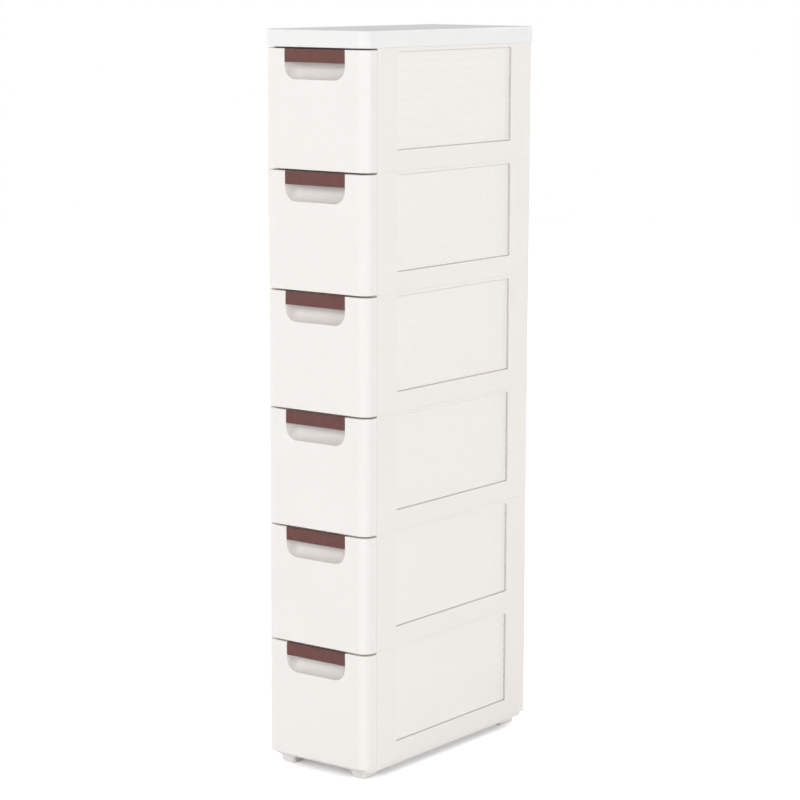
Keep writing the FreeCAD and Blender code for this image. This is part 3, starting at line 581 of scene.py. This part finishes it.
def field_ring(low_a, high_a, out, level):
    """The outline of a recess on a plane that faces +X, grown by out."""
    radii = [RECESS_CORNER + out] * 4
    outline = rounded(low_a - out, high_a + out, RECESS["low"] - out, RECESS["high"] + out, radii, 6)
    return [(level, a, b) for a, b in outline]


def recess_solid(low_a, high_a, outer, depth, lip):
    """A shallow tub for carving a recess into a face that looks along +X, with a rounded lip."""
    profile = [(lip, outer + RECESS_CLEAR)]
    profile += [(lip * (1 - sine), outer - lip * (1 - cosine)) for sine, cosine in quarter(4)]
    profile.append((0.0, outer - depth))
    return stacked("recess", [field_ring(low_a, high_a, out, level) for out, level in profile])


def groove_ring(low_a, high_a, floor):
    """A thin ring for carving the shadow groove that runs round the slats on a recess's floor."""

    def plug(out, low, high):
        return stacked("ring", [field_ring(low_a, high_a, out, level) for level in (low, high)])

    bottom = floor - GROOVE["depth"]
    rim = plug(0.0, bottom, floor + GROOVE["over"])
    return carved(rim, [plug(-GROOVE["width"], bottom - GROOVE["core_under"], floor + GROOVE["core_over"])])


def side_mesh(tree, finish):
    """The right side panel of one tier: two posts, a recess with slats, and cells between ribs inside."""

    def plan(inset):
        hidden = inset * SIDE["inner_share"]
        return rounded(INNER + hidden, HALF - inset, CABINET_FRONT + hidden, REAR - inset, SIDE["radii"], 6)

    block = slab("panel", plan, SIDE["gap"], PITCH - SIDE["gap"], SIDE["edge"], 3)
    front, rear, floor = RECESS["front"], RECESS["rear"], HALF - SIDE["depth"]
    recess = recess_solid(front, rear, HALF, SIDE["depth"], SIDE["lip"])
    inside = INNER - CELLS["clear"]
    cells = []
    for near, far in zip(CELLS["edges"], CELLS["edges"][1:]):
        behind_post = far <= front or near >= rear
        deep = HALF - (CELLS["skin"] if behind_post else SIDE["depth"] + CELLS["skin"])
        for low, high in CELLS["rows"]:
            cells.append(cutter("cell", (inside, near + CELLS["rib"], low), (deep, far, high)))
    rebate = cutter(
        "rebate", (inside, REBATE["front"], PITCH - REBATE["depth"]),
        (REBATE["outer"], REBATE["rear"], PITCH + REBATE["clear"]),
    )
    panel = carved(block, [recess, joined("cells", cells), rebate, groove_ring(front, rear, floor)])
    return louvred(panel, tree, finish, SIDE, floor, front, rear, GROOVE["width"])


def back_mesh(tree, finish):
    """The back panel of one tier, drawn facing +X like a side panel and then turned to the rear."""
    half, outer, reach = BACK["half"], BACK["outer"], BACK["recess"]

    def plan(inset):
        return rounded(BACK["inner"], outer - inset, -half, half, [BACK["corner"]] * 4, 2)

    block = slab("back", plan, BACK["low"], PITCH - BACK["short"], BACK["edge"], 3)
    panel = carved(block, [recess_solid(-reach, reach, outer, BACK["depth"], BACK["lip"])])
    whole = louvred(panel, tree, finish, BACK, outer - BACK["depth"], -reach, reach, 0.0)
    whole.transform(Matrix.Rotation(math.pi / 2, 4, "Z"))
    return whole


# Cover, feet and the hidden frames

def cover_mesh(tree, finish):
    """The top cover: a rounded board with a deep skirt, hollow and ribbed below."""
    low, high, half, long = COVER["low"], COVER["high"], COVER["half"], COVER["long"]
    edge, hem = COVER["edge"], COVER["hem"]
    ceiling = high - WALL
    profile = [(inset, ceiling - drop) for inset, drop in COVER["ceiling"]]
    profile += [(inset, low + rise) for inset, rise in COVER["inside"]]
    profile += [(hem * (1 - sine), low + hem * (1 - cosine)) for sine, cosine in quarter(3)]
    profile += [(edge * (1 - cosine), high - edge * (1 - sine)) for sine, cosine in quarter(8)]
    rings = []
    for inset, level in profile:
        near, far = COVER["corner"] - inset, max(COVER["rear_corner"] - inset, COVER["least"])
        radii = [near, far, far, near]
        ring = rounded(-half + inset, half - inset, -long + inset, long - inset, radii, CORNER_STEPS)
        rings.append([(a, b, level) for a, b in ring])
    whole = stacked("cover", rings)
    for ribs in COVER_RIBS:
        step = Vector(ribs["step"])
        tall = high - RIB["top_gap"] - low - ribs["low"]
        first = step * (1 - ribs["count"]) / 2 + Vector((0.0, 0.0, low + ribs["low"] + tall / 2))
        whole = slatted(
            whole, tree, Count=ribs["count"], Step=step * MM, Length=ribs["length"] * MM, Height=tall * MM,
            Thickness=RIB["thick"] * MM, Lean=0.0, Nose=SLAT_NOSE * MM, Start=first * MM,
            Turn=Vector((math.pi / 2, 0.0, ribs["turn"])), Finish=finish,
        )
    return whole


def foot_mesh():
    """A foot round the origin: wider at the top, with a rounded sole."""
    half, long, sole = FOOT["half"], FOOT["long"], FOOT["sole"]
    profile = [(FOOT["inset"] + sole * (1 - sine), sole * (1 - cosine)) for sine, cosine in quarter(5)]
    profile += FOOT["flare"]
    rings = []
    for inset, level in profile:
        radii = [max(FOOT["corner"] - inset * FOOT["corner_share"], FOOT["least"])] * 4
        ring = rounded(-half + inset, half - inset, -long + inset, long - inset, radii, 8)
        rings.append([(a, b, level) for a, b in ring])
    return shaded(stacked("foot", rings))


def eased_copy(node, name):
    """A copy of a CAD solid with its doubles merged and its edges rounded."""
    sheet = bmesh.new()
    sheet.from_mesh(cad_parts[node].data)
    bmesh.ops.remove_doubles(sheet, verts=sheet.verts, dist=FRAME_COPY["merge"] * MM)
    bmesh.ops.dissolve_limit(sheet, angle_limit=FRAME_COPY["flat"], verts=sheet.verts, edges=sheet.edges)
    copy = bpy.data.meshes.new(name)
    sheet.to_mesh(copy)
    sheet.free()
    copy.materials.clear()
    return shaded(eased(copy, FRAME_COPY["edge"], 2))


# Shader groups

def group(name, inputs, outputs):
    """An empty shader group with its sockets, given as name, kind and value."""
    tree = bpy.data.node_groups.new(name, "ShaderNodeTree")
    for label, kind, number in inputs:
        tree.interface.new_socket(label, in_out="INPUT", socket_type=kind).default_value = number
    for label, kind in outputs:
        tree.interface.new_socket(label, in_out="OUTPUT", socket_type=kind)
    return tree, tree.nodes.new("NodeGroupInput").outputs, tree.nodes.new("NodeGroupOutput").inputs


def calc(tree, operation, first, second, clamp=False):
    """The result of a maths node on two sockets or numbers."""
    made = add_node(tree, "ShaderNodeMath", {0: first, 1: second}, operation=operation, use_clamp=clamp)
    return made.outputs["Value"]


def noise(tree, place, scale, detail, rough=0.5):
    made = add_node(tree, "ShaderNodeTexNoise", {
        "Vector": place, "Scale": scale, "Detail": detail, "Roughness": rough,
    })
    return made.outputs["Fac"]


def blend(tree, share, first, second):
    """A mix of two colours."""
    made = add_node(tree, "ShaderNodeMix", {"Factor": share, "A": first, "B": second}, data_type="RGBA")
    return made.outputs["Result"]


def object_place(tree):
    return tree.nodes.new("ShaderNodeTexCoord").outputs["Object"]


def grain_group():
    """Fine spark-eroded grain with a slow ripple under it: a height for bump and a change of roughness."""
    tree, given, made = group(
        "moulded_grain",
        [
            ("Grain Scale", "NodeSocketFloat", 1600.0), ("Ripple Scale", "NodeSocketFloat", 160.0),
            ("Ripple Share", "NodeSocketFloat", 1.5), ("Roughness", "NodeSocketFloat", 0.4),
            ("Roughness Spread", "NodeSocketFloat", 0.08),
        ],
        [("Height", "NodeSocketFloat"), ("Roughness", "NodeSocketFloat")],
    )
    place = object_place(tree)
    grain = noise(tree, place, given["Grain Scale"], 3.0, 0.6)
    ripple = noise(tree, place, given["Ripple Scale"], 2.0)
    slow = calc(tree, "MULTIPLY", ripple, given["Ripple Share"])
    tree.links.new(calc(tree, "ADD", grain, slow), made["Height"])
    patch = noise(tree, place, PATCH_SCALE, 4.0)
    spread = given["Roughness Spread"]
    swing = calc(tree, "MULTIPLY", calc(tree, "SUBTRACT", patch, 0.5), spread)
    speck = calc(tree, "MULTIPLY", calc(tree, "SUBTRACT", grain, 0.5), spread)
    rough = calc(tree, "ADD", given["Roughness"], calc(tree, "ADD", swing, speck), clamp=True)
    tree.links.new(rough, made["Roughness"])
    return tree


def tone_group():
    """Colour that drifts a little over a moulding, as plastic does where it flowed and cooled."""
    tree, given, made = group(
        "flow_tone",
        [
            ("Colour", "NodeSocketColor", (0.9, 0.9, 0.9, 1.0)),
            ("Shade", "NodeSocketColor", (0.8, 0.8, 0.8, 1.0)),
            ("Amount", "NodeSocketFloat", 0.3), ("Scale", "NodeSocketFloat", 6.0),
        ],
        [("Colour", "NodeSocketColor")],
    )
    place = object_place(tree)
    cloud = calc(tree, "MULTIPLY", noise(tree, place, given["Scale"], 3.0, 0.55), CLOUD_SHARE)
    fleck = calc(tree, "MULTIPLY", noise(tree, place, FLECK_SCALE, 2.0), FLECK_SHARE)
    share = calc(tree, "MULTIPLY", calc(tree, "ADD", cloud, fleck), given["Amount"], clamp=True)
    tree.links.new(blend(tree, share, given["Colour"], given["Shade"]), made["Colour"])
    return tree


def wear_and_highlight_group():
    """Outer edges painted paler, partly as wear and partly as a painted highlight, and inner corners and
    creases painted a darker colour.
    """
    tree, given, made = group(
        "edge_wear_and_highlight",
        [
            ("Colour", "NodeSocketColor", (0.9, 0.9, 0.9, 1.0)), ("Wear And Highlight Colour", "NodeSocketColor", WHITE),
            ("Crease Colour", "NodeSocketColor", (0.7, 0.7, 0.68, 1.0)), ("Wear And Highlight", "NodeSocketFloat", 0.3),
            ("Crease Share", "NodeSocketFloat", 0.3),
        ],
        [("Colour", "NodeSocketColor")],
    )
    bend = tree.nodes.new("ShaderNodeNewGeometry").outputs["Pointiness"]
    broken = noise(tree, object_place(tree), EDGE_BREAKUP_SCALE, 3.0)
    gain = EDGE["gain"]
    edges = calc(tree, "MULTIPLY", calc(tree, "SUBTRACT", bend, EDGE["high"]), gain, clamp=True)
    corners = calc(tree, "MULTIPLY", calc(tree, "SUBTRACT", EDGE["low"], bend), gain, clamp=True)
    # Outer edges go paler: wear and a painted highlight.
    wear_and_highlight = calc(tree, "MULTIPLY", calc(tree, "MULTIPLY", edges, broken), given["Wear And Highlight"], clamp=True)
    # Inner corners and creases go a darker colour.
    crease_darkening = calc(tree, "MULTIPLY", calc(tree, "MULTIPLY", corners, broken), given["Crease Share"], clamp=True)
    paler = blend(tree, wear_and_highlight, given["Colour"], given["Wear And Highlight Colour"])
    tree.links.new(blend(tree, crease_darkening, paler, given["Crease Colour"]), made["Colour"])
    return tree


def linear(red, green, blue):
    """A colour as written in a picture, turned into light."""

    def one(level):
        share = level / 255.0
        return share / 12.92 if share <= 0.04045 else ((share + 0.055) / 1.055) ** 2.4

    return (one(red), one(green), one(blue), 1.0)


def plastic(name, groups):
    """A moulded plastic: tone, rub and dust on the colour, grain on the roughness and the bump."""
    look = {**PLAIN, **FINISHES[name]}
    finish = bpy.data.materials.new(name)
    finish.use_nodes = True
    tree = finish.node_tree
    body = tree.nodes["Principled BSDF"]
    body.inputs["Specular IOR Level"].default_value = look["specular"]
    drift = add_node(tree, "ShaderNodeGroup", {
        "Colour": linear(*look["colour"]), "Shade": linear(*look["shade"]), "Amount": look["tone"],
    }, node_tree=groups["tone"])
    # Outer edges paler, as wear and a painted highlight, and inner corners and creases darker.
    edge_and_crease = add_node(tree, "ShaderNodeGroup", {
        "Colour": drift.outputs["Colour"], "Wear And Highlight Colour": linear(*look["wear_and_highlight_colour"]), "Crease Colour": linear(*look["crease_darkening"]),
        "Wear And Highlight": look["wear_and_highlight"], "Crease Share": look["crease_share"],
    }, node_tree=groups["wear_and_highlight"])
    texture = add_node(tree, "ShaderNodeGroup", {
        "Grain Scale": look["grain"], "Roughness": look["roughness"],
    }, node_tree=groups["grain"])
    bump = add_node(tree, "ShaderNodeBump", {
        "Height": texture.outputs["Height"], "Strength": BUMP_STRENGTH, "Distance": look["depth"] * MM,
    })
    tree.links.new(edge_and_crease.outputs["Colour"], body.inputs["Base Color"])
    tree.links.new(texture.outputs["Roughness"], body.inputs["Roughness"])
    tree.links.new(bump.outputs["Normal"], body.inputs["Normal"])
    return finish


def make_finishes():
    groups = {"grain": grain_group(), "tone": tone_group(), "wear_and_highlight": wear_and_highlight_group()}
    return {name: plastic(name, groups) for name in FINISHES}


# The tower

def dressed(node, mesh, body, slot, finishes):
    """Puts a finished mesh on its body, in its finish, in the place of its CAD node."""
    mesh.materials.clear()
    mesh.materials.append(finishes[slot])
    mesh.polygons.foreach_set("material_index", [0] * len(mesh.polygons))
    piece = shown(f"{node}_shape", mesh)
    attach(piece, body)
    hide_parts(node)


def build_tower(finishes):
    tree = slat_tree()
    front, bar, tray = front_mesh(), bar_mesh(), tray_mesh()
    right = side_mesh(tree, finishes["panel_white"])
    left = shaded(mirrored(right, "left"))
    back = back_mesh(tree, finishes["panel_white"])
    shelf = eased_copy("shelf_frame_1", "shelf")
    for tier in range(1, TIERS + 1):
        drawer = f"drawer_{tier}"
        rise = (tier - 1) * PITCH
        for kind, mesh, body, slot, level in (
            ("drawer_front", front, drawer, "front_white", BASE),
            ("pull_bar", bar, drawer, "bar_brown", BASE),
            ("drawer_tray", tray, drawer, "tray_white", BASE),
            ("side_panel_right", right, "cabinet", "panel_white", BASE),
            ("side_panel_left", left, "cabinet", "panel_white", BASE),
            ("back_panel", back, "cabinet", "panel_white", BASE),
            ("shelf_frame", shelf, "cabinet", "panel_white", 0.0),
        ):
            node = f"{kind}_{tier}"
            dressed(node, moved(mesh, node, z=level + rise), body, slot, finishes)
    cover = cover_mesh(tree, finishes["cover_white"])
    dressed("top_cover", cover, "cabinet", "cover_white", finishes)
    dressed("base_frame", eased_copy("base_frame", "base"), "cabinet", "panel_white", finishes)
    foot = foot_mesh()
    for end, y in FOOT_ENDS.items():
        for side, x in FOOT_SIDES.items():
            node = f"foot_{end}_{side}"
            dressed(node, moved(foot, node, x=x, y=y), "cabinet", "foot_white", finishes)


# Studio

def make_sky():
    """Even light for the object, and plain white for the camera."""
    world = bpy.data.worlds.new("studio")
    bpy.context.scene.world = world
    world.use_nodes = True
    tree = world.node_tree
    sky = tree.nodes["Background"]
    sky.inputs["Color"].default_value = WHITE
    sky.inputs["Strength"].default_value = SKY
    white = add_node(tree, "ShaderNodeBackground", {"Color": WHITE, "Strength": 1.0})
    path = tree.nodes.new("ShaderNodeLightPath").outputs
    seen = calc(tree, "MAXIMUM", path["Is Camera Ray"], path["Is Transmission Ray"])
    choice = add_node(tree, "ShaderNodeMixShader", {
        0: seen, 1: sky.outputs["Background"], 2: white.outputs["Background"],
    })
    tree.links.new(choice.outputs["Shader"], tree.nodes["World Output"].inputs["Surface"])


def floor_paper():
    """Matt paper that the camera sees lifted to white, except in the contact shadow."""
    paper = bpy.data.materials.new("floor_paper")
    paper.use_nodes = True
    tree = paper.node_tree
    matt = tree.nodes["Principled BSDF"]
    matt.inputs["Base Color"].default_value = FLOOR["colour"]
    matt.inputs["Roughness"].default_value = FLOOR["roughness"]
    matt.inputs["Specular IOR Level"].default_value = 0.0
    contact = add_node(
        tree, "ShaderNodeAmbientOcclusion", {"Distance": CONTACT["distance"]}, samples=CONTACT["samples"]
    )
    gained = calc(tree, "MULTIPLY", contact.outputs["AO"], CONTACT["gain"])
    lifted = calc(tree, "ADD", gained, CONTACT["least"])
    glow = add_node(tree, "ShaderNodeEmission", {"Color": WHITE, "Strength": lifted})
    both = add_node(tree, "ShaderNodeAddShader", {0: matt.outputs["BSDF"], 1: glow.outputs["Emission"]})
    path = tree.nodes.new("ShaderNodeLightPath").outputs
    choice = add_node(tree, "ShaderNodeMixShader", {
        0: path["Is Camera Ray"], 1: matt.outputs["BSDF"], 2: both.outputs["Shader"],
    })
    tree.links.new(choice.outputs["Shader"], tree.nodes["Material Output"].inputs["Surface"])
    return paper


def studio():
    """White surroundings, a floor that keeps the contact shadow, and four soft lamps."""
    make_sky()
    turns = [math.tau * k / FLOOR["sides"] for k in range(FLOOR["sides"])]
    radius = FLOOR["radius"]
    rim = [(radius * math.cos(turn), radius * math.sin(turn)) for turn in turns]
    floor = shown("floor", stacked("floor", [[(x, y, level) for x, y in rim] for level in FLOOR["levels"]]))
    floor.data.materials.append(floor_paper())
    for name, place, size, power in LAMPS:
        lamp = bpy.data.lights.new(name, "AREA")
        lamp.shape = "DISK"
        lamp.size = size
        lamp.energy = power
        light = bpy.data.objects.new(name, lamp)
        light.location = place
        light.rotation_euler = (Vector(AIM) - Vector(place)).to_track_quat("-Z", "Y").to_euler()
        bpy.context.scene.collection.objects.link(light)


def camera():
    """The photograph's view: from the front right, a little above the top cover."""
    yaw, pitch, roll = (math.radians(CAMERA[angle]) for angle in ("yaw", "pitch", "roll"))
    ahead = Vector((-math.sin(yaw) * math.cos(pitch), math.cos(yaw) * math.cos(pitch), -math.sin(pitch)))
    right = Vector((math.cos(yaw), math.sin(yaw), 0.0))
    up = right.cross(ahead)
    across = right * math.cos(roll) + up * math.sin(roll)
    over = up * math.cos(roll) - right * math.sin(roll)
    lens = bpy.data.cameras.new("camera")
    lens.sensor_width = 36.0
    lens.lens = CAMERA["lens"]
    lens.clip_start = 0.05
    lens.clip_end = 60.0
    view = bpy.data.objects.new("camera", lens)
    turn = Matrix((across, over, -ahead)).transposed().to_4x4()
    view.matrix_world = Matrix.Translation(CAMERA["place"]) @ turn
    bpy.context.scene.collection.objects.link(view)
    bpy.context.scene.camera = view


camera()
studio()
build_tower(make_finishes())
bpy.context.scene.view_settings.view_transform = "Standard"
